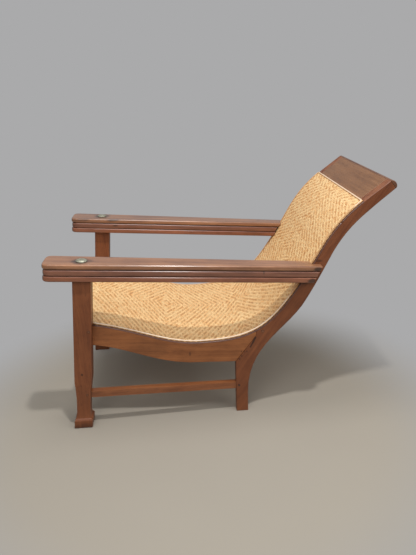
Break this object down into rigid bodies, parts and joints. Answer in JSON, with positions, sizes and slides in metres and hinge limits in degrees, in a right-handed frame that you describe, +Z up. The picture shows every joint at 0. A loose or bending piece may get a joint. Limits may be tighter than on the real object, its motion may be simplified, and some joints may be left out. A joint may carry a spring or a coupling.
{
  "type": "planters chair",
  "caption": "Raked hardwood lounge chair with a curved woven cane seat and back, and long flat arms whose middle boards swing out as leg rests.",
  "frame": {"origin": "on the floor, under the centre of the bounding box at rest with both leaves closed", "axes": "+X to the sitter's left (the side nearer the camera), +Y from the front of the chair to its back, +Z up"},
  "size_m": [0.69, 1.1766, 0.8468],
  "materials": {
    "frame_wood": "worn satin polish on dark red-brown hardwood",
    "arm_wood": "satin polish on red-brown hardwood, greyer on top",
    "stretcher_wood": "satin, more orange than the frame",
    "bead_wood": "polished dark edge bead",
    "peg_wood": "end grain, matt",
    "woven_cane": "closely woven cane in a diamond twill, satin",
    "binding_cane": "flat strip of pale split cane, satin",
    "bolt_metal": "dull aged steel"
  },
  "bodies": {
    "chair_frame": {"arm_bottom_board_left": "arm_wood", "arm_bottom_board_right": "arm_wood", "arm_top_board_left": "arm_wood", "arm_top_board_right": "arm_wood", "back_edge_bead_left": "bead_wood", "back_edge_bead_right": "bead_wood", "cane_panel": "woven_cane", "crest_cane_binding": "binding_cane", "crest_cap": "frame_wood", "crest_rail": "frame_wood", "front_cane_binding": "binding_cane", "front_leg_left": "frame_wood", "front_leg_rail_peg_left": "peg_wood", "front_leg_rail_peg_right": "peg_wood", "front_leg_right": "frame_wood", "front_leg_stretcher_peg_left": "peg_wood", "front_leg_stretcher_peg_right": "peg_wood", "front_seat_rail": "frame_wood", "pivot_bolt_left": "bolt_metal", "pivot_bolt_right": "bolt_metal", "rail_joint_peg_left": "peg_wood", "rail_joint_peg_right": "peg_wood", "rear_leg_stile_left": "frame_wood", "rear_leg_stile_right": "frame_wood", "rear_leg_stretcher_peg_left": "peg_wood", "rear_leg_stretcher_peg_right": "peg_wood", "rear_seat_rail": "frame_wood", "seat_edge_bead_left": "bead_wood", "seat_edge_bead_right": "bead_wood", "side_cane_binding_left": "binding_cane", "side_cane_binding_right": "binding_cane", "side_seat_rail_left": "frame_wood", "side_seat_rail_right": "frame_wood", "side_stretcher_left": "stretcher_wood", "side_stretcher_right": "stretcher_wood"},
    "leaf_left": {"leg_rest_leaf_left": "arm_wood"},
    "leaf_right": {"leg_rest_leaf_right": "arm_wood"}
  },
  "joints": [
    {"name": "leaf_left_swing", "type": "hinge", "parent": "chair_frame", "child": "leaf_left", "pos_m": [0.301, -0.46056, 0.63], "axis": [0, -0.075, -0.9972], "range_deg": [0, 180]},
    {"name": "leaf_right_swing", "type": "hinge", "parent": "chair_frame", "child": "leaf_right", "pos_m": [-0.301, -0.46056, 0.63], "axis": [0, 0.075, 0.9972], "range_deg": [0, 180]}
  ]
}
